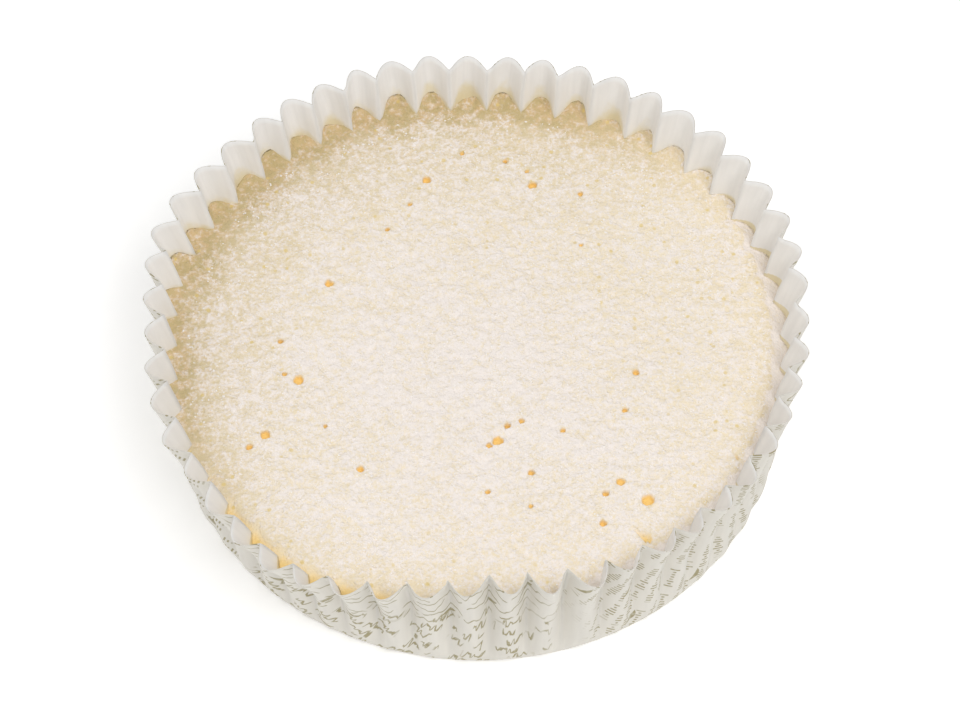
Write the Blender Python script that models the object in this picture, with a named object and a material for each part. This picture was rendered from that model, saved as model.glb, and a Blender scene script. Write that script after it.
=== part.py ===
"""A jiggly cheesecake in its fluted paper baking case.

The case is one thin sheet: a flat round floor and a wall pressed into rounded flutes with sharp
inner folds, shallow at the floor and deepest at the rim. The cake fills it to two thirds of its
height. Its sides keep the print of the flutes, its edge is soft, and its top has low swells and
the larger steam holes.

Metres, +Z up. The origin is the middle of the case's underside, on which it stands. The front,
where the wall leans out most, is -Y.
"""
import math
import random

import bmesh
import bpy
from mathutils import Matrix, Vector, noise

MM = 0.001

# The paper case
CASE_HEIGHT = 24.0 * MM
BASE_RADIUS = 43.0 * MM      # of the inner folds, from the floor up to the cake's top
RIM_CREST_RADIUS = 47.9 * MM
FLUTE_DEPTH = 2.7 * MM       # at the rim
FLUTES = 51
COLUMNS_PER_FLUTE = 4        # an inner fold, a flank, the outer crest, a flank
SHEET = 0.3 * MM             # wall and floor, thicker than real paper so that it is a solid
CORNER = 1.0 * MM            # bend between the floor and the wall
FLARE_START = 13.0 * MM      # height at which the wall begins to open outward
FLARE_POWER = 1.4
CREST_ROUNDNESS = 0.9        # below 1 the crests are broad and the inner folds sharp
FIRST_FOLD_DEG = 88.2
PITCH_SPREAD = 0.05          # uneven flute widths, as a share of one flute
DEPTH_SPREAD = 0.07          # uneven flute depths
SAG_SHARE = 0.15             # how far the rim drops for each metre that it is bent outward
SWAY_POWER = 1.6             # how the bends below grow with height
WALL_LEVELS = (CORNER, 4.5 * MM, 10 * MM, 16 * MM, 20 * MM, CASE_HEIGHT)
SEED = 51

# Where the flutes are pushed round the wall: at, half width and size in degrees, 0 is to the
# right and 90 to the back
DRIFTS = (
    (60, 35, 0.6),
    (134, 22, -1.6),
    (222, 24, 3.0),
    (322, 14, -1.7),
    (352, 12, -1.4),
)

# Where the flutes are shallower or deeper: at and half width in degrees, change as a share
DEPTH_CHANGES = (
    (2, 13, -0.3),
    (283, 11, 0.45),
)

# Bends of the rim: at and half width in degrees, outward size
BENDS = (
    (38, 22, 0.4 * MM),
    (87, 12, -0.6 * MM),
    (105, 7, 0.5 * MM),
    (160, 11, 1.2 * MM),
    (183, 8, -0.8 * MM),
    (207, 8, 0.7 * MM),
    (237, 19, 3.8 * MM),
    (275, 10, -1.3 * MM),
    (340, 14, -0.7 * MM),
)

# The cake
CAKE_TOP = 16.5 * MM         # at its edge, before the edge is rounded off
CROWN = 0.4 * MM             # how much higher the middle is
EDGE_DROP = 0.9 * MM         # rounding of the top edge, down and in
EDGE_ROUND = 1.0 * MM
FOLD_GAP = 0.85 * MM         # from the middle of the sheet to the cake at an inner fold
LOBE_SHARE = 0.8             # depth of the cake's flutes against the case's
FOLLOW = 0.2                 # how far the cake goes along where the case bends away from it
FLOOR_GAP = 0.35 * MM
CAKE_FLOOR = SHEET + FLOOR_GAP
SIDE_LEVELS = (CAKE_FLOOR + CORNER, 8 * MM, CAKE_TOP - EDGE_DROP)
TOP_RING_SPACING = 3 * MM
TOP_RING_STEP = 2.6 * MM     # between the points along a ring
SWELL = 0.22 * MM            # low swells of the top
SWELL_LENGTH = 9.0 * MM
RIPPLE = 0.1 * MM
RIPPLE_LENGTH = 4.0 * MM

# Larger steam holes in the top: across, to the back, width (mm)
STEAM_HOLES = (
    (-7.5, 30.0, 1.3),
    (8.0, 29.0, 1.4),
    (-21.5, 11.0, 1.3),
    (-25.5, -6.0, 1.5),
    (-30.0, -15.5, 1.5),
    (2.8, -16.6, 1.7),
    (23.8, -26.5, 1.8),
    (23.5, -33.0, 1.4),
    (20.0, -23.5, 1.3),
    (17.5, -30.5, 1.1),
    (4.2, -14.1, 1.0),
    (-16.5, -21.5, 1.1),
    (7.5, -22.0, 1.0),
)
HOLE_DEPTH = 0.9 * MM
HOLE_SIDES = 8

PAPER_COLOUR = (0.80, 0.78, 0.74, 1.0)
PAPER_ROUGHNESS = 0.75
CAKE_COLOUR = (0.84, 0.75, 0.60, 1.0)
CAKE_ROUGHNESS = 0.9


def clear_scene():
    """Remove whatever the file holds."""
    for thing in list(bpy.data.objects):
        bpy.data.objects.remove(thing, do_unlink=True)


def plain_material(name, colour, roughness):
    """A matt Principled material."""
    material = bpy.data.materials.new(name)
    material.use_nodes = True
    shader = material.node_tree.nodes["Principled BSDF"]
    shader.inputs["Base Color"].default_value = colour
    shader.inputs["Roughness"].default_value = roughness
    shader.inputs["Metallic"].default_value = 0.0
    return material


def finish_object(name, bm, material):
    """Turn a bmesh into a smooth-shaded object with one material."""
    mesh = bpy.data.meshes.new(name)
    bm.to_mesh(mesh)
    bm.free()
    mesh.materials.append(material)
    mesh.shade_smooth()
    thing = bpy.data.objects.new(name, mesh)
    bpy.context.scene.collection.objects.link(thing)
    return thing


def bumps(table, degrees):
    """The sum of smooth bumps round the wall, each given by its place, half width and size."""
    total = 0.0
    for at, width, size in table:
        away = (degrees - at + 180) % 360 - 180
        total += size * math.exp(-((away / width) ** 2))
    return total


def flute_columns():
    """(angle, swing) round the wall: swing is 0 in an inner fold and about 1 on a crest."""
    draw = random.Random(SEED)
    pitch = 360 / FLUTES
    folds = []
    for k in range(FLUTES):
        even = FIRST_FOLD_DEG + pitch * (k + draw.uniform(-PITCH_SPREAD, PITCH_SPREAD))
        folds.append(math.radians(even + bumps(DRIFTS, even)))
    folds.append(folds[0] + math.tau)
    columns = []
    for left, right in zip(folds, folds[1:]):
        change = bumps(DEPTH_CHANGES, math.degrees((left + right) / 2))
        depth = 1 + change + draw.uniform(-DEPTH_SPREAD, DEPTH_SPREAD)
        for step in range(COLUMNS_PER_FLUTE):
            share = step / COLUMNS_PER_FLUTE
            swing = depth * math.sin(math.pi * share) ** CREST_ROUNDNESS
            columns.append((left + share * (right - left), swing))
    return columns


def wall_bend(angle, height):
    """How far the wall is bent outward from the round, most of it near the rim."""
    return bumps(BENDS, math.degrees(angle)) * (height / CASE_HEIGHT) ** SWAY_POWER


def flute_depth(height):
    """The pleats start at the floor's bend and take up more paper the higher the wall."""
    return FLUTE_DEPTH * math.sqrt(max(height - CORNER, 0.0) / (CASE_HEIGHT - CORNER))


def fold_radius(height):
    """Radius of the inner folds: upright beside the cake, then flaring out."""
    share = max(0.0, height - FLARE_START) / (CASE_HEIGHT - FLARE_START)
    rim_radius = RIM_CREST_RADIUS - FLUTE_DEPTH
    return BASE_RADIUS + (rim_radius - BASE_RADIUS) * share ** FLARE_POWER


def placed(radius, angle, height):
    """A point given by its distance from the middle line, its angle and its height."""
    return Vector((radius * math.cos(angle), radius * math.sin(angle), height))


def case_point(column, height):
    """A point in the middle of the paper sheet."""
    angle, swing = column
    bend = wall_bend(angle, height)
    radius = fold_radius(height) + swing * flute_depth(height) + bend
    return placed(radius, angle, height - SAG_SHARE * max(bend, 0.0))


def cake_point(column, height, inset=0.0):
    """A point on the cake's side, clear of the paper."""
    angle, swing = column
    bend = wall_bend(angle, height)
    if bend > 0:
        bend *= FOLLOW
    lobe = LOBE_SHARE * swing * flute_depth(height)
    return placed(fold_radius(height) - FOLD_GAP + lobe + bend - inset, angle, height)


def first_ring(bm, places):
    """A closed ring of vertices at the given places."""
    ring = bmesh.ops.create_circle(bm, cap_ends=False, segments=len(places), radius=1.0)["verts"]
    for vertex, place in zip(ring, places):
        vertex.co = place
    return ring


def ring_edges(bm, ring):
    return [bm.edges.get(pair) for pair in zip(ring, ring[1:] + ring[:1])]


def grow_ring(bm, ring, places):
    """Extrude a closed ring and move each new vertex to its own place."""
    grown = bmesh.ops.extrude_edge_only(bm, edges=ring_edges(bm, ring))["geom"]
    fresh = {item for item in grown if isinstance(item, bmesh.types.BMVert)}
    following = []
    for vertex, place in zip(ring, places):
        neighbours = (edge.other_vert(vertex) for edge in vertex.link_edges)
        above = next(other for other in neighbours if other in fresh)
        above.co = place
        following.append(above)
    return following


def round_ring(count, radius, height):
    """Evenly spaced places on a circle."""
    turns = (math.tau * k / count + math.pi / 2 for k in range(count))
    return [Vector((radius * math.cos(turn), radius * math.sin(turn), height)) for turn in turns]


def fill_with_rings(bm, edge_ring, rings, middle_height):
    """Fill a closed ring inward, between rings of fewer and fewer points, then with a fan."""
    outer = edge_ring
    for places in rings:
        inner = first_ring(bm, places)
        band = ring_edges(bm, outer) + ring_edges(bm, inner)
        bmesh.ops.triangle_fill(bm, edges=band, use_beauty=True, use_dissolve=False)
        outer = inner
    cap = bmesh.ops.contextual_create(bm, geom=outer)["faces"]
    middle = bmesh.ops.poke(bm, faces=cap)["verts"][0]
    middle.co.z = middle_height


def fill_floor(bm, edge_ring, height):
    """A flat floor: one point for each flute, a third as many half way in, then the middle."""
    outer = round_ring(FLUTES, 0.85 * BASE_RADIUS, height)
    inner = round_ring(FLUTES // 3, 0.5 * BASE_RADIUS, height)
    fill_with_rings(bm, edge_ring, [outer, inner], height)


def make_paper_case(material):
    """One sheet drawn up from the floor's edge to the rim, then given its thickness."""
    columns = flute_columns()
    bm = bmesh.new()
    sheet_middle = SHEET / 2
    floor_edge = [placed(BASE_RADIUS - CORNER, angle, sheet_middle) for angle, _ in columns]
    start = first_ring(bm, floor_edge)
    ring = start
    for height in WALL_LEVELS:
        ring = grow_ring(bm, ring, [case_point(column, height) for column in columns])
    fill_floor(bm, start, sheet_middle)
    bmesh.ops.recalc_face_normals(bm, faces=bm.faces)
    case = finish_object("paper_case", bm, material)
    sheet = case.modifiers.new("sheet", "SOLIDIFY")
    sheet.thickness = SHEET
    sheet.offset = 0.0
    sheet.use_even_offset = True
    return case


def top_height(x, y):
    """Height of the cake's top: a faint crown with low swells and finer ripples."""
    share = min(1.0, math.hypot(x, y) / BASE_RADIUS)
    spot = Vector((x, y, 0.0))
    swell = SWELL * noise.noise(spot / SWELL_LENGTH)
    ripple = RIPPLE * noise.noise(spot / RIPPLE_LENGTH)
    return CAKE_TOP + CROWN * (1 - share * share) + swell + ripple


def top_ring(count, radius):
    """A round ring of points that lie on the cake's top."""
    places = round_ring(count, radius, CAKE_TOP)
    for place in places:
        place.z = top_height(place.x, place.y)
    return places


def make_cheesecake(material):
    """A closed loaf: floor, fluted side, rounded edge and a gently uneven top."""
    columns = flute_columns()
    bm = bmesh.new()
    start = first_ring(bm, [cake_point(column, CAKE_FLOOR, inset=CORNER) for column in columns])
    ring = start
    for height in SIDE_LEVELS:
        ring = grow_ring(bm, ring, [cake_point(column, height) for column in columns])
    shoulder = [cake_point(column, CAKE_TOP, inset=EDGE_ROUND) for column in columns]
    for place in shoulder:
        place.z = top_height(place.x, place.y) - EDGE_DROP / 4
    ring = grow_ring(bm, ring, shoulder)
    top_rings = []
    radius = BASE_RADIUS - FOLD_GAP - EDGE_ROUND - TOP_RING_SPACING / 2
    while radius > TOP_RING_SPACING:
        top_rings.append(top_ring(round(math.tau * radius / TOP_RING_STEP), radius))
        radius -= TOP_RING_SPACING
    fill_with_rings(bm, ring, top_rings, top_height(0, 0))
    fill_floor(bm, start, CAKE_FLOOR)
    bmesh.ops.recalc_face_normals(bm, faces=bm.faces)
    return finish_object("cheesecake", bm, material)


def cut_steam_holes(cake):
    """Sink shallow round bowls into the top, one for each larger hole."""
    bm = bmesh.new()
    for across, back, width in STEAM_HOLES:
        x = across * MM
        y = back * MM
        radius = width * MM / 2
        place = Matrix.Translation((x, y, top_height(x, y)))
        shape = place @ Matrix.Diagonal((radius, radius, HOLE_DEPTH, 1.0))
        bmesh.ops.create_uvsphere(
            bm, u_segments=HOLE_SIDES, v_segments=HOLE_SIDES // 2, radius=1.0, matrix=shape
        )
    cutter = finish_object("steam_holes", bm, cake.data.materials[0])
    cutter.hide_render = True
    cutter.display_type = "WIRE"
    cut = cake.modifiers.new("steam holes", "BOOLEAN")
    cut.operation = "DIFFERENCE"
    cut.object = cutter


def main():
    clear_scene()
    make_paper_case(plain_material("paper", PAPER_COLOUR, PAPER_ROUGHNESS))
    cake = make_cheesecake(plain_material("cake", CAKE_COLOUR, CAKE_ROUGHNESS))
    cut_steam_holes(cake)


main()
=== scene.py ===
# %% [markdown]
# # A jiggly cheesecake in its paper case
#
# A small round cheesecake sits in a cup of pressed baking paper. The cup is one sheet, printed
# flat and then pleated, so its wall is a wave that deepens towards the rim. The cake is pale and
# soft, with a dusting of powdered sugar that has clumped on its moist skin.
#
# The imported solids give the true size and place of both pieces. This script loads them as a fixed
# frame and makes a finer paper case, a finer cake, and the loose sugar that is too small for them.

import math
import random

import bmesh
import bpy
from mathutils import Matrix, Vector, noise


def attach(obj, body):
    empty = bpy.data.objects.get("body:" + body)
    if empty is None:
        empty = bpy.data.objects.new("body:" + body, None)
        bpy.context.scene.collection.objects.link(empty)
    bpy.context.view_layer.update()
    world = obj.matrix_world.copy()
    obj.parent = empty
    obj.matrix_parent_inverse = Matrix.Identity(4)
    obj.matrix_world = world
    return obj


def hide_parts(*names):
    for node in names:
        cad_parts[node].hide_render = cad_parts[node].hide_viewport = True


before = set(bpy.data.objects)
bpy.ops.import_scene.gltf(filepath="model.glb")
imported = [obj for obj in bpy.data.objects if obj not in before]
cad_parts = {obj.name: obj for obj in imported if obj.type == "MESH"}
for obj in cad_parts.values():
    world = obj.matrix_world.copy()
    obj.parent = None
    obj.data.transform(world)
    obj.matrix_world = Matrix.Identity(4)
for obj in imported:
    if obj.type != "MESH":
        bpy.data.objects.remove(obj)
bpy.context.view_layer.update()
MM = 0.001

# %% [markdown]
# ## The camera
#
# The photograph looks down at the cake from the front, from a little over 50 degrees. The rim's
# ellipse gives that angle, and the way the far flutes shrink gives the distance. A long lens a
# good way off keeps the circle nearly even, which is what a product photograph does.

# %% Camera
VIEW_ELEVATION = math.radians(54.2)
VIEW_DISTANCE = 0.7
LENS = 182.2
AIM = Vector((0.3 * MM, 1.7 * MM, 11.2 * MM))

camera_data = bpy.data.cameras.new("view")
camera_data.lens = LENS
camera = bpy.data.objects.new("view", camera_data)
bpy.context.scene.collection.objects.link(camera)
camera.location = AIM + VIEW_DISTANCE * Vector(
    (0, -math.cos(VIEW_ELEVATION), math.sin(VIEW_ELEVATION))
)
camera.rotation_euler = (math.pi / 2 - VIEW_ELEVATION, 0, 0)
camera_data.clip_start = 0.01
bpy.context.scene.camera = camera
print("camera height, mm:", round(camera.location.z / MM))

# %% [markdown]
# ## The shape of the wall
#
# A real cup starts as a flat disc. Every ring of it keeps its length when the wall is pushed up,
# so the higher the wall, the more paper goes into the pleats. That makes the pleats deepen with
# the root of the height. The functions below say where the sheet is at any angle and height. They
# hold the same sizes as the solids, so the fine pieces fit the frame.

# %% Sizes of the case and the cake
CASE_HEIGHT = 24.0 * MM
BASE_RADIUS = 43.0 * MM
RIM_CREST_RADIUS = 47.9 * MM
FLUTE_DEPTH = 2.7 * MM
FLUTES = 51
CORNER = 1.0 * MM
FLARE_START = 13.0 * MM
FLARE_POWER = 1.4
CREST_ROUNDNESS = 0.9
FIRST_FOLD_DEG = 88.2
PITCH_SPREAD = 0.05
DEPTH_SPREAD = 0.07
SAG_SHARE = 0.15
SWAY_POWER = 1.6
SEED = 51
FOLD_ROUNDNESS = 0.12        # softens the bottom of each fold, as a share of the flute depth
WANDER = math.radians(0.5)   # how far a pleat strays sideways at the rim
WANDER_LENGTH = 7 * MM
DENT = 0.14 * MM             # how deep the hand-pressed dents are at the rim
DENT_LENGTH = 4 * MM

# Flutes pushed round the wall: at, half width and size in degrees
DRIFTS = (
    (60, 35, 0.6),
    (134, 22, -1.6),
    (222, 24, 3.0),
    (322, 14, -1.7),
    (352, 12, -1.4),
)
# Where the flutes are shallower or deeper: at and half width in degrees, change as a share
DEPTH_CHANGES = (
    (2, 13, -0.3),
    (283, 11, 0.45),
)
# Bends of the rim: at and half width in degrees, outward size
BENDS = (
    (38, 22, 0.4 * MM),
    (87, 12, -0.6 * MM),
    (105, 7, 0.5 * MM),
    (160, 11, 1.2 * MM),
    (183, 8, -0.8 * MM),
    (207, 8, 0.7 * MM),
    (237, 19, 3.8 * MM),
    (275, 10, -1.3 * MM),
    (340, 14, -0.7 * MM),
)


def bumps(table, degrees):
    """The sum of smooth bumps round the wall."""
    total = 0.0
    for at, width, size in table:
        away = (degrees - at + 180) % 360 - 180
        total += size * math.exp(-((away / width) ** 2))
    return total


def flutes():
    """(left fold, right fold, depth) of each flute, angles in radians."""
    draw = random.Random(SEED)
    pitch = 360 / FLUTES
    folds = []
    for k in range(FLUTES):
        even = FIRST_FOLD_DEG + pitch * (k + draw.uniform(-PITCH_SPREAD, PITCH_SPREAD))
        folds.append(math.radians(even + bumps(DRIFTS, even)))
    folds.append(folds[0] + math.tau)
    found = []
    for left, right in zip(folds, folds[1:]):
        change = bumps(DEPTH_CHANGES, math.degrees((left + right) / 2))
        found.append((left, right, 1 + change + draw.uniform(-DEPTH_SPREAD, DEPTH_SPREAD)))
    return found


def columns_for(per_flute):
    """(angle, swing, flute) of every column: swing is 0 in a fold and about 1 on a crest."""
    columns = []
    for k, (left, right, depth) in enumerate(flutes()):
        for step in range(per_flute):
            share = step / per_flute
            lobe = math.sin(math.pi * share) ** CREST_ROUNDNESS
            soft = math.hypot(lobe, FOLD_ROUNDNESS) - FOLD_ROUNDNESS
            swing = depth * soft / (math.hypot(1, FOLD_ROUNDNESS) - FOLD_ROUNDNESS)
            columns.append((left + share * (right - left), swing, k))
    return columns


def wall_bend(angle, height):
    """How far the wall is bent outward from the round."""
    return bumps(BENDS, math.degrees(angle)) * (height / CASE_HEIGHT) ** SWAY_POWER


def flute_depth(height):
    return FLUTE_DEPTH * math.sqrt(max(height - CORNER, 0.0) / (CASE_HEIGHT - CORNER))


def fold_radius(height):
    """Radius of the inner folds: upright beside the cake, then flaring out."""
    share = max(0.0, height - FLARE_START) / (CASE_HEIGHT - FLARE_START)
    rim_radius = RIM_CREST_RADIUS - FLUTE_DEPTH
    return BASE_RADIUS + (rim_radius - BASE_RADIUS) * share ** FLARE_POWER


def placed(radius, angle, height):
    """A point given by its distance from the middle line, its angle and its height."""
    return Vector((radius * math.cos(angle), radius * math.sin(angle), height))


def pressed(column, height):
    """(angle, dent): the slight wander and dents of a hand-pressed pleat."""
    angle, swing, flute = column
    rise = height / CASE_HEIGHT
    wander = noise.noise(Vector((flute * 3.7, height / WANDER_LENGTH, 0.0)))
    around = Vector((math.cos(angle) * 9, math.sin(angle) * 9, height / DENT_LENGTH))
    dent = DENT * rise * noise.noise(around)
    return angle + WANDER * wander * rise, dent


def smooth_step(low, high, value):
    share = min(1.0, max(0.0, (value - low) / (high - low)))
    return share * share * (3 - 2 * share)


rim_middle = RIM_CREST_RADIUS - FLUTE_DEPTH / 2
print("flutes:", FLUTES, "pitch at the rim, mm:", round(math.tau * rim_middle / FLUTES / MM, 2))

# %% [markdown]
# ## Rings as building blocks
#
# Both pieces grow the same way. A circle of vertices is placed on its true outline, extruded, and
# the new ring is moved to the next level. The flat middles are filled between rings of fewer
# points, so that no long thin triangles meet in the centre.

# %% Ring helpers


def first_ring(bm, places):
    """A closed ring of vertices at the given places."""
    ring = bmesh.ops.create_circle(bm, cap_ends=False, segments=len(places), radius=1.0)["verts"]
    for vertex, place in zip(ring, places):
        vertex.co = place
    return ring


def ring_edges(bm, ring):
    return [bm.edges.get(pair) for pair in zip(ring, ring[1:] + ring[:1])]


def grow_ring(bm, ring, places):
    """Extrude a closed ring and move each new vertex to its own place."""
    grown = bmesh.ops.extrude_edge_only(bm, edges=ring_edges(bm, ring))["geom"]
    fresh = {item for item in grown if isinstance(item, bmesh.types.BMVert)}
    following = []
    for vertex, place in zip(ring, places):
        neighbours = (edge.other_vert(vertex) for edge in vertex.link_edges)
        above = next(other for other in neighbours if other in fresh)
        above.co = place
        following.append(above)
    return following


def round_ring(count, radius, height):
    turns = (math.tau * k / count + math.pi / 2 for k in range(count))
    return [Vector((radius * math.cos(turn), radius * math.sin(turn), height)) for turn in turns]


def fill_flat(bm, edge_ring, counts_and_radii, height):
    """Fill a ring inward between rings of fewer points, and close it with a fan."""
    outer = edge_ring
    for count, radius in counts_and_radii:
        inner = first_ring(bm, round_ring(count, radius, height))
        band = ring_edges(bm, outer) + ring_edges(bm, inner)
        bmesh.ops.triangle_fill(bm, edges=band, use_beauty=True, use_dissolve=False)
        outer = inner
    cap = bmesh.ops.contextual_create(bm, geom=outer)["faces"]
    bmesh.ops.poke(bm, faces=cap)


def make_object(name, bm, materials):
    """A smooth-shaded object at the origin, linked to the scene."""
    mesh = bpy.data.meshes.new(name)
    bm.to_mesh(mesh)
    bm.free()
    for material in materials:
        mesh.materials.append(material)
    mesh.shade_smooth()
    made = bpy.data.objects.new(name, mesh)
    bpy.context.scene.collection.objects.link(made)
    return made


# %% [markdown]
# ## Building materials in nodes
#
# The finishes are procedural: noise and cells in the space of the object, so they need no images.
# A few small helpers keep the node code short. They add a node and plug in its sockets by name,
# do arithmetic, change a range, mix two colours, and start a node group or a material.

# %% Node helpers


def add(tree, kind, settings=None, **sockets):
    """Add a shader node. Values or output sockets go to the inputs named by keyword."""
    made = tree.nodes.new("ShaderNode" + kind)
    for key, value in (settings or {}).items():
        setattr(made, key, value)
    for key, value in sockets.items():
        plug(tree, made.inputs[key.replace("_", " ")], value)
    return made


def plug(tree, socket, value):
    if isinstance(value, bpy.types.NodeSocket):
        tree.links.new(value, socket)
    else:
        socket.default_value = value


def calc(tree, operation, first, second=0.0, third=0.0):
    """One Math node, as an output socket."""
    made = tree.nodes.new("ShaderNodeMath")
    made.operation = operation
    for socket, value in zip(made.inputs, (first, second, third)):
        plug(tree, socket, value)
    return made.outputs[0]


def ramp(tree, value, low, high, to_low=0.0, to_high=1.0):
    """A smooth, clamped change of range."""
    made = tree.nodes.new("ShaderNodeMapRange")
    made.interpolation_type = "SMOOTHSTEP"
    for socket, number in zip(made.inputs, (value, low, high, to_low, to_high)):
        plug(tree, socket, number)
    return made.outputs[0]


def blend(tree, factor, first, second):
    """Mix two colours."""
    made = tree.nodes.new("ShaderNodeMix")
    made.data_type = "RGBA"
    plug(tree, made.inputs["Factor"], factor)
    plug(tree, made.inputs[6], first)
    plug(tree, made.inputs[7], second)
    return made.outputs[2]


def colour(red, green, blue):
    """A screen colour, 0 to 255, as a linear one."""
    linear = [((c / 255 + 0.055) / 1.055) ** 2.4 for c in (red, green, blue)]
    return (*linear, 1.0)


def new_group(name, inputs, outputs):
    """An empty node group with named sockets, and its two end nodes."""
    tree = bpy.data.node_groups.new(name, "ShaderNodeTree")
    for label, kind, value in inputs:
        socket = tree.interface.new_socket(label, in_out="INPUT", socket_type="NodeSocket" + kind)
        if value is not None:
            socket.default_value = value
    for label, kind in outputs:
        tree.interface.new_socket(label, in_out="OUTPUT", socket_type="NodeSocket" + kind)
    return tree, tree.nodes.new("NodeGroupInput"), tree.nodes.new("NodeGroupOutput")


def use_group(tree, group, **sockets):
    made = tree.nodes.new("ShaderNodeGroup")
    made.node_tree = group
    for key, value in sockets.items():
        plug(tree, made.inputs[key.replace("_", " ")], value)
    return made


def new_material(name):
    material = bpy.data.materials.new(name)
    material.use_nodes = True
    return material, material.node_tree, material.node_tree.nodes["Principled BSDF"]


# %% [markdown]
# ## Baking paper
#
# Greaseproof paper is off-white and slightly cloudy, because its fibres lie unevenly. Both sides
# of the sheet share that look, so it is a node group. Pressing also leaves faint creases that run
# up the wall, so some of the noise is stretched along the spokes of the flat disc. The group puts
# out a colour and a height.

# %% Paper fibre group
paper_group, ends_in, ends_out = new_group(
    "paper_fibre",
    [("Tint", "Color", (0.8, 0.8, 0.8, 1.0)), ("Cloud", "Float", 0.05), ("Stripe", "Float", 0.12)],
    [("Color", "Color"), ("Height", "Float")],
)
spot = add(paper_group, "TexCoord").outputs["Object"]
cloud = add(paper_group, "TexNoise", Vector=spot, Scale=260.0, Detail=4.0, Roughness=0.6)
fibre = add(paper_group, "TexNoise", Vector=spot, Scale=1800.0, Detail=3.0, Roughness=0.7)
flat = add(paper_group, "UVMap", {"uv_map": "flat_disc"}).outputs[0]
spoke = add(paper_group, "VectorMath", {"operation": "NORMALIZE"})
paper_group.links.new(flat, spoke.inputs[0])
wide = add(paper_group, "VectorMath", {"operation": "SCALE"}, Scale=52.0)
paper_group.links.new(spoke.outputs[0], wide.inputs[0])
spot_parts = add(paper_group, "SeparateXYZ", Vector=spot)
rise = calc(paper_group, "MULTIPLY", spot_parts.outputs["Z"], 90.0)
crease_at = add(paper_group, "VectorMath", {"operation": "ADD"})
paper_group.links.new(wide.outputs[0], crease_at.inputs[0])
paper_group.links.new(add(paper_group, "CombineXYZ", Z=rise).outputs[0], crease_at.inputs[1])
crease = add(paper_group, "TexNoise", Vector=crease_at.outputs[0], Scale=1.0, Detail=2.0)
lift = calc(paper_group, "SUBTRACT", cloud.outputs[0], 0.5)
lift = calc(paper_group, "MULTIPLY_ADD", lift, ends_in.outputs["Cloud"], 1.0)
mark = calc(paper_group, "SUBTRACT", crease.outputs[0], 0.5)
lift = calc(paper_group, "MULTIPLY_ADD", mark, ends_in.outputs["Stripe"], lift)
shade = add(paper_group, "VectorMath", {"operation": "SCALE"})
paper_group.links.new(ends_in.outputs["Tint"], shade.inputs[0])
paper_group.links.new(lift, shade.inputs["Scale"])
paper_group.links.new(shade.outputs[0], ends_out.inputs["Color"])
height = calc(paper_group, "MULTIPLY_ADD", fibre.outputs[0], 0.2, cloud.outputs[0])
height = calc(paper_group, "MULTIPLY_ADD", crease.outputs[0], 1.5, height)
paper_group.links.new(height, ends_out.inputs["Height"])
print("paper group nodes:", len(paper_group.nodes))

# %% [markdown]
# ## The printed outside
#
# The sheet is printed while flat. The marks therefore run straight across the flat disc and only
# bend where the paper is pleated. The piece's UV map holds the place of each point on that flat
# disc, in metres, so a flat pattern in UV space lands on the wall just as ink does. The real cup
# carries words. Here the ink is plain: wandering rules, rows of squiggles, rows of short upright
# strokes, and a few broad brush strokes, in fields round the wall.

# %% Ink patterns
OLIVE = colour(142, 130, 76)
SQUIGGLE_BEAT = 5.2          # how quickly the pen goes up and down, radians in a millimetre


def millimetres(tree, place, turn):
    """The two coordinates of a flat place in millimetres, after turning the pattern."""
    grid = add(tree, "Mapping", Vector=place, Rotation=(0, 0, turn), Scale=(1 / MM, 1 / MM, 1))
    split = add(tree, "SeparateXYZ", Vector=grid.outputs[0])
    return split.outputs["X"], split.outputs["Y"]


def chance(tree, along, row, pace):
    """Smooth noise along a row, different in every row, from 0 to 1."""
    where = calc(tree, "MULTIPLY_ADD", row, 17.3, calc(tree, "MULTIPLY", along, pace))
    made = add(tree, "TexNoise", {"noise_dimensions": "1D"}, W=where, Scale=1.0, Detail=1.0)
    return made.outputs[0]


def rows(tree, up, spacing):
    """(row number, distance from the middle of the row)."""
    count = calc(tree, "DIVIDE", up, spacing)
    offset = calc(tree, "SUBTRACT", calc(tree, "FRACT", count), 0.5)
    return calc(tree, "FLOOR", count), calc(tree, "MULTIPLY", offset, spacing)


def squiggles(tree, place, turn, spacing, pen):
    """Rows of a quick up-and-down pen line, broken into runs of a few millimetres."""
    along, up = millimetres(tree, place, turn)
    row, offset = rows(tree, up, spacing)
    beat = calc(tree, "MULTIPLY", along, SQUIGGLE_BEAT)
    beat = calc(tree, "MULTIPLY_ADD", chance(tree, along, row, 0.9), 7.0, beat)
    reach = calc(tree, "MULTIPLY_ADD", chance(tree, along, row, 0.55), 2.4, -0.55)
    reach = calc(tree, "MAXIMUM", reach, 0.12)
    line = calc(tree, "MULTIPLY", calc(tree, "SINE", beat), reach)
    slope = calc(tree, "MULTIPLY", reach, SQUIGGLE_BEAT)
    slope = calc(tree, "MULTIPLY", calc(tree, "COSINE", beat), slope)
    steep = calc(tree, "SQRT", calc(tree, "MULTIPLY_ADD", slope, slope, 1.0))
    away = calc(tree, "ABSOLUTE", calc(tree, "SUBTRACT", offset, line))
    away = calc(tree, "DIVIDE", away, steep)
    run = ramp(tree, chance(tree, along, row, 0.28), 0.49, 0.52)
    return calc(tree, "MULTIPLY", ramp(tree, away, pen, pen * 0.45), run)


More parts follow.
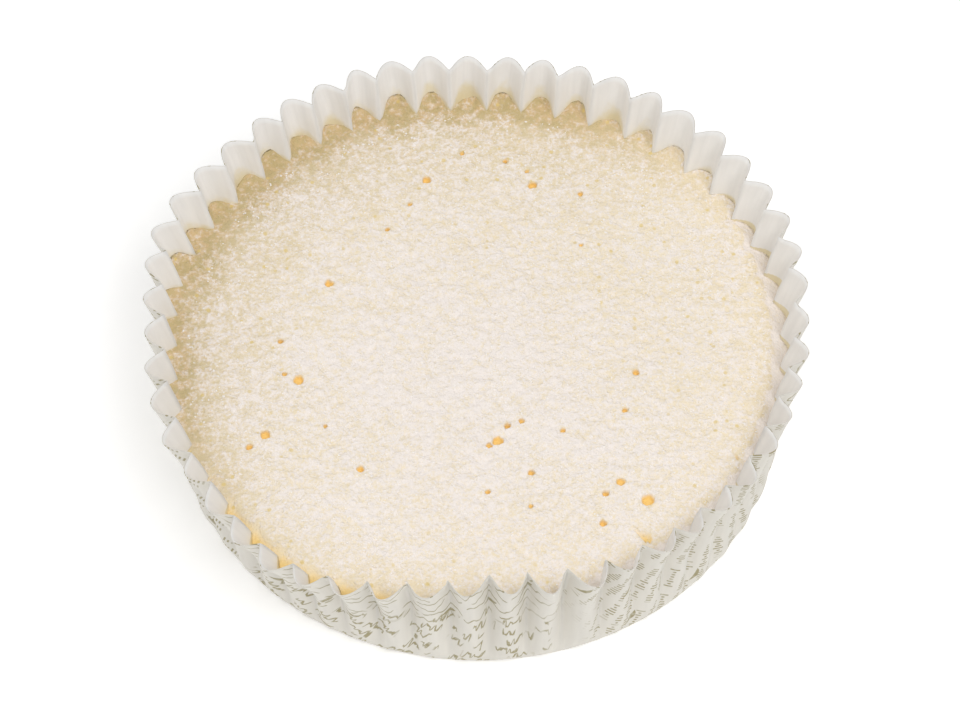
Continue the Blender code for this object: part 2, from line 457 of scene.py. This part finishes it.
def upright_strokes(tree, place, turn, spacing, pace):
    """Rows of short upright strokes of uneven height, with gaps."""
    along, up = millimetres(tree, place, turn)
    along = calc(tree, "MULTIPLY_ADD", up, 0.22, along)
    row, offset = rows(tree, up, spacing)
    count = calc(tree, "DIVIDE", along, pace)
    seed = calc(tree, "MULTIPLY_ADD", row, 31.7, calc(tree, "FLOOR", count))
    pick = add(tree, "TexWhiteNoise", {"noise_dimensions": "1D"}, W=seed).outputs["Value"]
    side = calc(tree, "ABSOLUTE", calc(tree, "SUBTRACT", calc(tree, "FRACT", count), 0.5))
    tall = calc(tree, "MULTIPLY_ADD", pick, 0.55, 0.2)
    over = calc(tree, "SUBTRACT", calc(tree, "ABSOLUTE", offset), tall)
    body = calc(tree, "MULTIPLY", ramp(tree, side, 0.3, 0.16), ramp(tree, over, 0.06, -0.06))
    body = calc(tree, "MULTIPLY", body, ramp(tree, pick, 0.4, 0.42))
    dot = calc(tree, "MULTIPLY_ADD", side, side, calc(tree, "MULTIPLY", offset, offset))
    dot = calc(tree, "SQRT", dot)
    dot = calc(tree, "MULTIPLY", ramp(tree, dot, 0.34, 0.2), ramp(tree, pick, 0.42, 0.4))
    body = calc(tree, "MAXIMUM", body, dot)
    return calc(tree, "MULTIPLY", body, ramp(tree, chance(tree, along, row, 0.3), 0.42, 0.46))


def wandering_rules(tree, place, turn, spacing, pen):
    """Thin parallel lines that drift to and fro."""
    along, up = millimetres(tree, place, turn)
    row, offset = rows(tree, up, spacing)
    drift = calc(tree, "MULTIPLY_ADD", chance(tree, along, row, 0.45), 3.4, -1.7)
    away = calc(tree, "ABSOLUTE", calc(tree, "SUBTRACT", offset, drift))
    whole = ramp(tree, chance(tree, along, row, 0.2), 0.44, 0.48)
    return calc(tree, "MULTIPLY", ramp(tree, away, pen, pen * 0.4), whole)


def brush_strokes(tree, place, cell):
    """Broad tapered strokes, a few of them, one to a cell at most."""
    along, up = millimetres(tree, place, 0.5)
    flat_place = add(tree, "CombineXYZ", X=along, Y=up).outputs[0]
    cells = add(tree, "TexVoronoi", {"voronoi_dimensions": "2D"}, Vector=flat_place, Scale=1 / cell)
    pick = add(tree, "SeparateColor", Color=cells.outputs["Color"])
    gap = add(tree, "VectorMath", {"operation": "SUBTRACT"})
    tree.links.new(flat_place, gap.inputs[0])
    tree.links.new(cells.outputs["Position"], gap.inputs[1])
    part = add(tree, "SeparateXYZ", Vector=gap.outputs[0])
    bow = calc(tree, "MULTIPLY", part.outputs["X"], part.outputs["X"])
    off = calc(tree, "ABSOLUTE", calc(tree, "MULTIPLY_ADD", bow, 0.18, part.outputs["Y"]))
    width = calc(tree, "MULTIPLY_ADD", bow, -0.13, 0.36)
    body = ramp(tree, calc(tree, "SUBTRACT", off, width), 0.05, -0.05)
    return calc(tree, "MULTIPLY", body, ramp(tree, pick.outputs[0], 0.66, 0.68))


# %% Outside paper
outside, tree, shader = new_material("printed_paper")
flat = add(tree, "UVMap", {"uv_map": "flat_disc"}).outputs[0]
place = add(tree, "SeparateXYZ", Vector=flat)
turn = calc(tree, "ARCTAN2", place.outputs["Y"], place.outputs["X"])
field = calc(tree, "COSINE", calc(tree, "MULTIPLY_ADD", turn, 3.0, -3 * math.radians(252)))
away = add(tree, "VectorMath", {"operation": "LENGTH"})
tree.links.new(flat, away.inputs[0])
up_wall = calc(tree, "SUBTRACT", away.outputs["Value"], BASE_RADIUS)
low = ramp(tree, up_wall, 15.0 * MM, 13.5 * MM)
high = ramp(tree, up_wall, 12.0 * MM, 13.5 * MM)
ragged = add(tree, "TexNoise", Vector=flat, Scale=90.0, Detail=1.0).outputs[0]
left_field = ramp(tree, calc(tree, "ADD", field, ragged), 0.45, 0.6)
right_field = ramp(tree, calc(tree, "SUBTRACT", field, ragged), -0.75, -0.95)
lines = calc(tree, "MULTIPLY", wandering_rules(tree, flat, 0.12, 2.3, 0.26), high)
curls = calc(tree, "MULTIPLY", squiggles(tree, flat, -0.25, 2.7, 0.24), low)
ink = calc(tree, "MULTIPLY", calc(tree, "MAXIMUM", lines, curls), left_field)
rows_ink = calc(tree, "MULTIPLY", upright_strokes(tree, flat, 0.75, 2.3, 0.62), right_field)
ink = calc(tree, "MAXIMUM", ink, rows_ink)
ink = calc(tree, "MAXIMUM", ink, brush_strokes(tree, flat, 8.0))
worn = add(tree, "TexNoise", Vector=flat, Scale=1300.0, Detail=2.0).outputs[0]
ink = calc(tree, "MULTIPLY", ink, ramp(tree, worn, 0.2, 0.6, 0.45, 0.85))
# The outside is tinted darker and greyer than the inside of the same sheet: this is painted shade
# on the outer wall, which faces down and away from the lights.
paper = use_group(tree, paper_group, Tint=colour(221, 217, 208), Cloud=0.06, Stripe=0.14)
base = blend(tree, ink, paper.outputs["Color"], OLIVE)
tree.links.new(base, shader.inputs["Base Color"])
shader.inputs["Roughness"].default_value = 0.62
bump = add(tree, "Bump", Height=paper.outputs["Height"], Strength=0.3, Distance=0.0002)
tree.links.new(bump.outputs[0], shader.inputs["Normal"])
print("outside paper nodes:", len(tree.nodes))

# %% [markdown]
# ## The plain inside
#
# The inner side has no print. Butter has soaked into the paper just above the cake, most of all at
# the back, and left a straw-coloured band that creeps up each flute. An attribute on the mesh says
# how near a point is to the cake, and noise makes the band's edge uneven.

# %% Inside paper
inside, tree, shader = new_material("greaseproof_paper")
reach = add(tree, "Attribute", {"attribute_name": "soak"}).outputs["Fac"]
here = add(tree, "TexCoord").outputs["Object"]
uneven = add(tree, "TexNoise", Vector=here, Scale=330.0, Detail=3.0, Roughness=0.6).outputs[0]
wide = add(tree, "TexNoise", Vector=here, Scale=75.0, Detail=1.0).outputs[0]
soak = calc(tree, "MULTIPLY_ADD", uneven, 1.6, calc(tree, "MULTIPLY_ADD", wide, 1.2, -1.4))
soak = ramp(tree, calc(tree, "ADD", reach, soak), 0.2, 1.3, 0.0, 0.85)
paper = use_group(tree, paper_group, Tint=colour(240, 238, 235), Cloud=0.05, Stripe=0.18)
base = blend(tree, soak, paper.outputs["Color"], colour(228, 214, 172))
tree.links.new(base, shader.inputs["Base Color"])
shader.inputs["Roughness"].default_value = 0.5
bump = add(tree, "Bump", Height=paper.outputs["Height"], Strength=0.3, Distance=0.0002)
tree.links.new(bump.outputs[0], shader.inputs["Normal"])
print("inside paper nodes:", len(tree.nodes))

# %% [markdown]
# ## The paper case
#
# The sheet is drawn up ring by ring with a dozen columns to a flute, which is enough for a round
# crest and a sharp fold. A Solidify modifier then gives it the thickness of paper, and puts the
# plain material on the inner side. The UV map is made from the flat disc: a ring's radius there
# is the floor's radius plus the distance up the wall.

# %% Paper case mesh
CASE_COLUMNS = 12
SHEET = 0.12 * MM
CAKE_LEVEL = 16.4 * MM
SOAK_HEIGHT = 2.6 * MM
SOAK_RISE = 1.3 * MM           # how far the band starts above the cake in the flutes at the back
WALL_STEP = 1.0 * MM
CASE_FLOOR_RINGS = [(204, 39 * MM), (102, 30 * MM), (51, 20 * MM), (24, 9 * MM)]


def case_point(column, height):
    """A point in the middle of the sheet."""
    bend = wall_bend(column[0], height)
    angle, dent = pressed(column, height)
    radius = fold_radius(height) + column[1] * flute_depth(height) + bend + dent
    return placed(radius, angle, height - SAG_SHARE * max(bend, 0.0))


columns = columns_for(CASE_COLUMNS)
levels = [CORNER * 0.3, CORNER]
while levels[-1] < CASE_HEIGHT - 1.5 * WALL_STEP:
    levels.append(levels[-1] + WALL_STEP)
levels.append(CASE_HEIGHT)

bm = bmesh.new()
soak_layer = bm.verts.layers.float.new("soak")
flat_layer = bm.verts.layers.float_vector.new("flat")
sheet_middle = SHEET / 2
ring = first_ring(bm, [placed(BASE_RADIUS - CORNER, c[0], sheet_middle) for c in columns])
start = ring
for height in levels:
    if height < CORNER:
        places = [placed(BASE_RADIUS - 0.25 * CORNER, c[0], height) for c in columns]
    else:
        places = [case_point(column, height) for column in columns]
    ring = grow_ring(bm, ring, places)
    for vertex, column in zip(ring, columns):
        angle, swing = column[:2]
        near_back = 0.1 + 0.9 * smooth_step(0.1, 0.8, math.cos(angle - math.radians(112)))
        edge_level = CAKE_LEVEL + SOAK_RISE * near_back * swing
        over = (height - edge_level) / (SOAK_HEIGHT * near_back * (0.3 + 0.9 * swing))
        vertex[soak_layer] = 1 - over
        disc = BASE_RADIUS + height
        vertex[flat_layer] = (disc * math.cos(angle), disc * math.sin(angle), 0)
fill_flat(bm, start, CASE_FLOOR_RINGS, sheet_middle)
for vertex in bm.verts:
    if vertex.co.z < CORNER * 0.2:
        vertex[flat_layer] = (vertex.co.x, vertex.co.y, 0)
bmesh.ops.recalc_face_normals(bm, faces=bm.faces)
rim_face = max(bm.faces, key=lambda face: face.calc_center_median().z)
if rim_face.normal.dot(rim_face.calc_center_median()) < 0:
    bmesh.ops.reverse_faces(bm, faces=bm.faces)
uv = bm.loops.layers.uv.new("flat_disc")
for face in bm.faces:
    for corner in face.loops:
        corner[uv].uv = corner.vert[flat_layer].xy

case = make_object("paper_cup", bm, [outside, inside])
sheet = case.modifiers.new("sheet", "SOLIDIFY")
sheet.thickness = SHEET
sheet.offset = 0.0
sheet.use_even_offset = True
sheet.material_offset = 1
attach(case, "root")
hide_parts("paper_case")
print("paper case faces:", len(case.data.polygons))

# %% [markdown]
# ## Cake and sugar
#
# The crumb is cream-coloured, with a darker tan band along the back and left edge, and a bright
# egg-yellow where steam holes or a bare side open it. Powdered sugar on a moist top gathers into
# clumps, so it is a fine mottle of white over cream. Three attributes steer the mix: how much sugar
# fell on a point, how far it lies in the darker tan band, and how deep it lies in a hole or down
# the side.

# %% Cake material
cake_look, tree, shader = new_material("sugared_cake")
sugar = add(tree, "Attribute", {"attribute_name": "sugar"}).outputs["Fac"]
edge_tan = add(tree, "Attribute", {"attribute_name": "edge_tan"}).outputs["Fac"]
depth = add(tree, "Attribute", {"attribute_name": "deep"}).outputs["Fac"]
here = add(tree, "TexCoord").outputs["Object"]
mottle = add(tree, "TexNoise", Vector=here, Scale=2100.0, Detail=2.0, Roughness=0.6).outputs[0]
lumps = add(tree, "TexNoise", Vector=here, Scale=800.0, Detail=2.0).outputs[0]
patch = add(tree, "TexNoise", Vector=here, Scale=140.0, Detail=2.0).outputs[0]
cover = calc(tree, "MULTIPLY_ADD", mottle, 2.6, calc(tree, "MULTIPLY", lumps, 1.9))
cover = calc(tree, "MULTIPLY_ADD", patch, 0.6, calc(tree, "SUBTRACT", cover, 2.5))
cover = ramp(tree, calc(tree, "ADD", sugar, cover), -0.25, 1.2)
pores = add(tree, "TexVoronoi", Vector=here, Scale=620.0, Randomness=1.0)
pick = add(tree, "SeparateColor", Color=pores.outputs["Color"]).outputs[0]
pore = ramp(tree, pores.outputs["Distance"], 0.26, 0.12)
pore = calc(tree, "MULTIPLY", pore, ramp(tree, pick, 0.62, 0.66))
pore = calc(tree, "MULTIPLY", pore, ramp(tree, sugar, 0.75, 0.4, 0.15, 0.8))
crumb = blend(tree, patch, colour(244, 228, 198), colour(250, 235, 204))
# The darker tan colour of the band along the back and left edge.
skin = blend(tree, ramp(tree, lumps, 0.35, 0.65), colour(206, 186, 138), colour(222, 194, 148))
crumb = blend(tree, edge_tan, crumb, skin)
crumb = blend(tree, pore, crumb, colour(232, 206, 132))
crumb = blend(tree, depth, crumb, colour(252, 216, 136))
bare = calc(tree, "MAXIMUM", depth, pore)
cover = calc(tree, "MULTIPLY", cover, calc(tree, "SUBTRACT", 1.0, bare))
base = blend(tree, cover, crumb, colour(250, 241, 234))
tree.links.new(base, shader.inputs["Base Color"])
shader.inputs["Roughness"].default_value = 0.85
grain = add(tree, "TexNoise", Vector=here, Scale=1900.0, Detail=2.0, Roughness=0.65).outputs[0]
grain = calc(tree, "MULTIPLY_ADD", cover, 0.25, grain)
bump = add(tree, "Bump", Height=grain, Strength=0.8, Distance=0.0004)
tree.links.new(bump.outputs[0], shader.inputs["Normal"])
print("cake nodes:", len(tree.nodes))

# %% [markdown]
# ## The top of the cake
#
# Low swells come from the solid. On them lie the lumps of sugar, about a millimetre across, and
# the steam holes. The holes seen in the photograph are listed by place. The finest pores between
# them are left to the material.

# %% Top surface functions
CAKE_TOP = 16.5 * MM
CROWN = 0.4 * MM
SWELL = 0.22 * MM
SWELL_LENGTH = 9.0 * MM
RIPPLE = 0.1 * MM
RIPPLE_LENGTH = 4.0 * MM
HOLE_DEPTH = 0.9 * MM
CLUMP = 0.26 * MM
CLUMP_LENGTH = 1.5 * MM
POWDER = 0.2 * MM
POWDER_LENGTH = 0.7 * MM
HEAP_X = -4 * MM             # where most sugar fell, and how far it spread
HEAP_Y = -9 * MM
HEAP_SPREAD = 27 * MM

# Steam holes: across, to the back, width (mm)
STEAM_HOLES = [
    (-7.5, 30.0, 1.3), (8.0, 29.0, 1.4), (-21.5, 11.0, 1.3), (-25.5, -6.0, 1.5),
    (-30.0, -15.5, 1.5), (2.8, -16.6, 1.7), (23.8, -26.5, 1.8), (23.5, -33.0, 1.4),
    (20.0, -23.5, 1.3), (17.5, -30.5, 1.1), (4.2, -14.1, 1.0), (-16.5, -21.5, 1.1),
    (7.5, -22.0, 1.0), (6.2, -13.3, 0.9), (1.6, -17.4, 1.0), (17.9, -25.6, 1.0),
    (4.9, 39.0, 1.0), (-2.3, 35.0, 0.7), (4.0, 33.5, 0.8), (15.0, 27.5, 0.8),
    (7.2, 31.5, 0.7), (-9.9, 25.5, 0.7), (-13.1, 20.8, 0.8), (-28.2, 0.7, 0.9),
    (-32.2, -17.5, 1.0), (-38.2, 16.0, 0.7), (-27.5, -5.0, 0.8), (22.5, -4.8, 1.0),
    (20.8, -11.3, 0.8), (-21.5, -14.0, 0.7), (15.0, 17.9, 0.6), (12.0, -14.9, 0.8),
    (38.3, 4.2, 0.8), (1.4, -25.3, 0.9), (7.4, -27.7, 0.7), (11.8, -37.4, 0.8),
    (-27.8, -26.4, 0.7), (36.5, -19.4, 0.7),
]


def top_height(x, y):
    """The solid's top: a faint crown with low swells and ripples."""
    share = min(1.0, math.hypot(x, y) / BASE_RADIUS)
    place = Vector((x, y, 0.0))
    swell = SWELL * noise.noise(place / SWELL_LENGTH)
    ripple = RIPPLE * noise.noise(place / RIPPLE_LENGTH)
    return CAKE_TOP + CROWN * (1 - share * share) + swell + ripple


def sugar_fall(x, y):
    """How much sugar fell here: most left of the middle, little by the wall."""
    heap = math.exp(-((x - HEAP_X) ** 2 + (y - HEAP_Y) ** 2) / HEAP_SPREAD ** 2)
    edge = smooth_step(44 * MM, 39.5 * MM, math.hypot(x, y))
    drift = noise.noise(Vector((x, y, 3.0)) / (11 * MM))
    return (0.42 + 0.46 * heap + 0.15 * drift) * (0.35 + 0.65 * edge)


def edge_tan_tone(x, y):
    """How deep in the darker tan band: along the edge from the left round to the back."""
    side = smooth_step(-0.1, 0.6, math.cos(math.atan2(y, x) - math.radians(132)))
    wander = 2.5 * MM * noise.noise(Vector((x, y, 9.0)) / (5 * MM))
    near = math.hypot(x, y) + wander
    broad = smooth_step(18 * MM, 43 * MM, near)
    rim = smooth_step(38.5 * MM, 42.5 * MM, near)
    return side * (0.5 * broad + 0.5 * rim) + (1 - side) * 0.2 * rim


def front_left(x, y):
    """1 at the front left, where the cake's bare side shows, and 0 elsewhere."""
    return smooth_step(0.6, 0.85, math.cos(math.atan2(y, x) - math.radians(238)))


def relief(x, y, sugar):
    """Lumps of sugar over a fine crumb."""
    place = Vector((x, y, 0.0))
    lump = noise.noise(place / CLUMP_LENGTH)
    powder = noise.noise(place / POWDER_LENGTH)
    return (CLUMP * lump + POWDER * powder) * (0.6 + 0.6 * sugar)


def hole_depth(x, y):
    """(drop, depth from 0 to 1) at a place in or near a steam hole."""
    for across, back, width in STEAM_HOLES:
        radius = width * MM / 2
        dx = x - across * MM
        dy = y - back * MM
        if abs(dx) > 2 * radius or abs(dy) > 2 * radius:
            continue
        ragged = 1 + 0.25 * noise.noise(Vector((dx, dy, across)) / (0.5 * MM))
        away = math.hypot(dx, dy) / (radius * ragged)
        if away < 1.25:
            inside_hole = smooth_step(1.15, 0.55, away)
            return HOLE_DEPTH * min(1.0, width) * inside_hole, smooth_step(1.1, 0.8, away)
    return 0.0, 0.0


print("steam holes:", len(STEAM_HOLES))

# %% [markdown]
# ## The cake
#
# The top starts as a fine square grid, cut round and sewn to the fluted edge. A grid keeps the
# lumps even, where rings would squeeze them together in the middle. Then the fluted edge is
# rounded off and extruded down the side to the floor. The grid is split further round each steam
# hole, so that the holes have clean edges.

# %% Cake mesh
CAKE_COLUMNS = 12
GRID_STEP = 0.3 * MM
GRID_RADIUS = 37.6 * MM
CLING = 0.05 * MM            # from the middle of the sheet to the cake, so just into the paper
EDGE_ROUND = 0.9 * MM
CLIMB = 1.9 * MM             # how far batter stuck to the paper above the top
SINK = 1.3 * MM              # how far the edge has sunk where the cake has shrunk
CAKE_FLOOR = 0.3 * MM
CAKE_FLOOR_RINGS = [(204, 38 * MM), (102, 28 * MM), (51, 18 * MM), (24, 8 * MM)]
EDGE_STEPS = 6
SIDE_TOP = 12.8 * MM
SIDE_STEP = 1.6 * MM
SIDE_RINGS = 8

# Where the cake has shrunk from the paper: at, half width in degrees, width of the gap
SHRINKS = (
    (350, 48, 0.9 * MM),
    (238, 26, 1.0 * MM),
    (290, 22, 0.4 * MM),
)


def cake_point(column, height, inset=0.0):
    """A point on the cake's side, which follows the paper, or lies some way inside it."""
    angle, dent = pressed(column, height)
    wall = fold_radius(height) + column[1] * flute_depth(height) + wall_bend(column[0], height)
    return placed(wall + dent - CLING - inset, angle, height)


def shrunk(column):
    """(gap, share): how far the top edge stands off the paper, in metres and from 0 to 1."""
    gap = bumps(SHRINKS, math.degrees(column[0]))
    share = smooth_step(0.1 * MM, 0.7 * MM, gap)
    hollow = 0.75 * column[1] * flute_depth(CAKE_TOP)
    return share * (gap + hollow), share


def edge_lift(column):
    """Height of the cake where it meets the paper, above or below its top."""
    angle, swing = column[:2]
    around = Vector((math.cos(angle) * 11, math.sin(angle) * 11, 2.0))
    share = shrunk(column)[1]
    stuck = smooth_step(-0.6, 0.5, noise.noise(around)) * smooth_step(0.1, 0.85, swing)
    back = 0.45 + 0.55 * smooth_step(-0.1, 0.6, math.sin(angle))
    return CLIMB * back * stuck * (1 - share) - SINK * (0.45 + 0.55 * min(1.0, swing)) * share


bm = bmesh.new()
sugar_layer = bm.verts.layers.float.new("sugar")
deep_layer = bm.verts.layers.float.new("deep")
edge_tan_layer = bm.verts.layers.float.new("edge_tan")
cells = round(2 * GRID_RADIUS / GRID_STEP)
bmesh.ops.create_grid(bm, x_segments=cells, y_segments=cells, size=GRID_RADIUS)
outer_corners = [v for v in bm.verts if v.co.xy.length > GRID_RADIUS]
bmesh.ops.delete(bm, geom=outer_corners, context="VERTS")
near_holes = set()
for across, back, width in STEAM_HOLES:
    middle = Vector((across * MM, back * MM))
    reach = 0.8 * width * MM
    near_holes.update(e for e in bm.edges if (e.verts[0].co.xy - middle).length < reach)
bmesh.ops.subdivide_edges(bm, edges=list(near_holes), cuts=2, use_grid_fill=True)
border = [edge for edge in bm.edges if len(edge.link_faces) == 1]

columns = columns_for(CAKE_COLUMNS)
ring = first_ring(bm, [cake_point(c, CAKE_TOP, shrunk(c)[0] + 3 * EDGE_ROUND) for c in columns])
bmesh.ops.triangle_fill(
    bm, edges=border + ring_edges(bm, ring), use_beauty=True, use_dissolve=False
)
lift_of = {}
gap_of = {}
for inset in (1.4, 0.8, 0.35):
    places = [cake_point(c, CAKE_TOP, shrunk(c)[0] + (0.9 + inset) * EDGE_ROUND) for c in columns]
    ring = grow_ring(bm, ring, places)
for step in range(EDGE_STEPS + 1):
    share = step / EDGE_STEPS
    places = []
    for column in columns:
        inset = (1 - share) * (shrunk(column)[0] + 0.9 * EDGE_ROUND)
        lift = edge_lift(column)
        lift *= share ** 2 if lift > 0 else 1 - (1 - share) ** 2
        places.append(cake_point(column, CAKE_TOP + lift, inset))
    ring = grow_ring(bm, ring, places)
    for vertex, column in zip(ring, columns):
        lift_of[vertex] = vertex.co.z - CAKE_TOP
        gap_of[vertex] = shrunk(column)[1] * smooth_step(0.0, 0.35, share)
print("cake top faces:", len(bm.faces))

# %% [markdown]
# The top is flat so far. Each vertex is now lifted to the crown, the edge is rolled down, the
# holes are sunk, and the three attributes are written for the material.

# %% Relief and side of the cake
for vertex in bm.verts:
    x, y = vertex.co.xy
    fallen = sugar_fall(x, y)
    drop, depth = hole_depth(x, y)
    gap = gap_of.get(vertex, 0.0)
    bare = gap * front_left(x, y)
    # Less sugar over the darker tan band.
    fallen -= 0.3 * edge_tan_tone(x, y)
    vertex[sugar_layer] = fallen + 1.2 * gap * (1 - front_left(x, y)) - 0.5 * bare
    below_edge = smooth_step(0.3 * MM, 1.0 * MM, -lift_of.get(vertex, 0.0))
    vertex[deep_layer] = max(depth, 0.9 * bare * below_edge)
    vertex[edge_tan_layer] = edge_tan_tone(x, y) * (1 - gap)
    rough = relief(x, y, fallen) * (1 - depth) * (1 - 0.6 * gap)
    vertex.co.z = top_height(x, y) + rough - drop + lift_of.get(vertex, 0.0)

side = [SIDE_TOP - step * SIDE_STEP for step in range(SIDE_RINGS)] + [CAKE_FLOOR + 0.6 * MM]
for height in side:
    ring = grow_ring(bm, ring, [cake_point(column, height) for column in columns])
    for vertex in ring:
        vertex[deep_layer] = 1.0
ring = grow_ring(bm, ring, [cake_point(column, CAKE_FLOOR, CORNER) for column in columns])
fill_flat(bm, ring, CAKE_FLOOR_RINGS, CAKE_FLOOR)
bmesh.ops.recalc_face_normals(bm, faces=bm.faces)

cake = make_object("sugared_cake", bm, [cake_look])
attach(cake, "root")
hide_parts("cheesecake")
print("cake faces:", len(cake.data.polygons))

# %% [markdown]
# ## Loose sugar
#
# Some of the powder stays in tiny balls on top of the dusting. Each is a squashed little ball of
# twenty faces, turned and sized by a seeded draw. They are laid where more sugar fell, and more
# than two thirds of each is sunk in the skin, so that they look caught in it.

# %% Sugar crumbs
CRUMBS = 5200
CRUMB_SEED = 7
CRUMB_REACH = 42.3 * MM      # how far from the middle they lie
CRUMB_SIZES = (0.08, 0.2)    # radius, mm
CRUMB_SUNK = 0.25            # centre below the skin, as a share of the radius
crumb_look, tree, shader = new_material("sugar_crumb")
shader.inputs["Base Color"].default_value = colour(252, 246, 240)
shader.inputs["Roughness"].default_value = 0.9

bm = bmesh.new()
bmesh.ops.create_icosphere(bm, subdivisions=1, radius=1.0)
ball = bpy.data.meshes.new("ball")
bm.to_mesh(ball)
bm.free()

draw = random.Random(CRUMB_SEED)
bm = bmesh.new()
laid = 0
while laid < CRUMBS:
    distance = CRUMB_REACH * math.sqrt(draw.random())
    turn = draw.uniform(0, math.tau)
    x = distance * math.cos(turn)
    y = distance * math.sin(turn)
    size = draw.uniform(*CRUMB_SIZES) * MM
    if draw.random() > 0.25 + sugar_fall(x, y) or hole_depth(x, y)[0] > 0:
        continue
    spread = Matrix.Diagonal((draw.uniform(0.8, 1.4), draw.uniform(0.8, 1.2), 0.6, 1.0))
    height = top_height(x, y) + relief(x, y, sugar_fall(x, y)) - CRUMB_SUNK * size
    where = Matrix.Translation((x, y, height)) @ Matrix.Rotation(draw.uniform(0, 3), 4, "Z")
    piece = ball.copy()
    piece.transform(where @ spread @ Matrix.Scale(size, 4))
    bm.from_mesh(piece, face_normals=False, vertex_normals=False)
    bpy.data.meshes.remove(piece)
    laid += 1
bpy.data.meshes.remove(ball)
bmesh.ops.recalc_face_normals(bm, faces=bm.faces)
crumbs = make_object("sugar_crumbs", bm, [crumb_look])
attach(crumbs, "root")
print("sugar crumb faces:", len(crumbs.data.polygons))

# %% [markdown]
# ## Floor and light
#
# The light in the photograph is broad and soft, with almost no shadow. The pale surroundings give
# most of it. One large panel above the front picks out the lumps and the flutes, and a
# weaker one from the left lights the inside of the right wall.

# %% Floor and lights
FLOOR_SIZE = 3.0
LIT_POINT = (0, 0, 0.01)

bm = bmesh.new()
bmesh.ops.create_grid(bm, x_segments=1, y_segments=1, size=FLOOR_SIZE / 2)
floor_look, tree, shader = new_material("pale_floor")
shader.inputs["Base Color"].default_value = (0.95, 0.95, 0.95, 1)
shader.inputs["Roughness"].default_value = 0.9
shader.inputs["Emission Color"].default_value = (1, 1, 1, 1)
shader.inputs["Emission Strength"].default_value = 0.24
floor = make_object("floor", bm, [floor_look])


def panel(name, place, target, size, power):
    """A square soft light."""
    data = bpy.data.lights.new(name, "AREA")
    data.size = size
    data.energy = power
    light = bpy.data.objects.new(name, data)
    light.location = place
    light.rotation_euler = (Vector(target) - Vector(place)).to_track_quat("-Z", "Y").to_euler()
    bpy.context.scene.collection.objects.link(light)


panel("key", (0.22, -0.35, 0.72), LIT_POINT, 0.45, 3.0)
panel("left", (-0.65, 0.15, 0.5), LIT_POINT, 0.6, 1.4)

world = bpy.data.worlds.new("studio")
bpy.context.scene.world = world
world.use_nodes = True
world.node_tree.nodes["Background"].inputs["Color"].default_value = (1, 1, 1, 1)
world.node_tree.nodes["Background"].inputs["Strength"].default_value = 0.5
bpy.context.scene.view_settings.view_transform = "Standard"
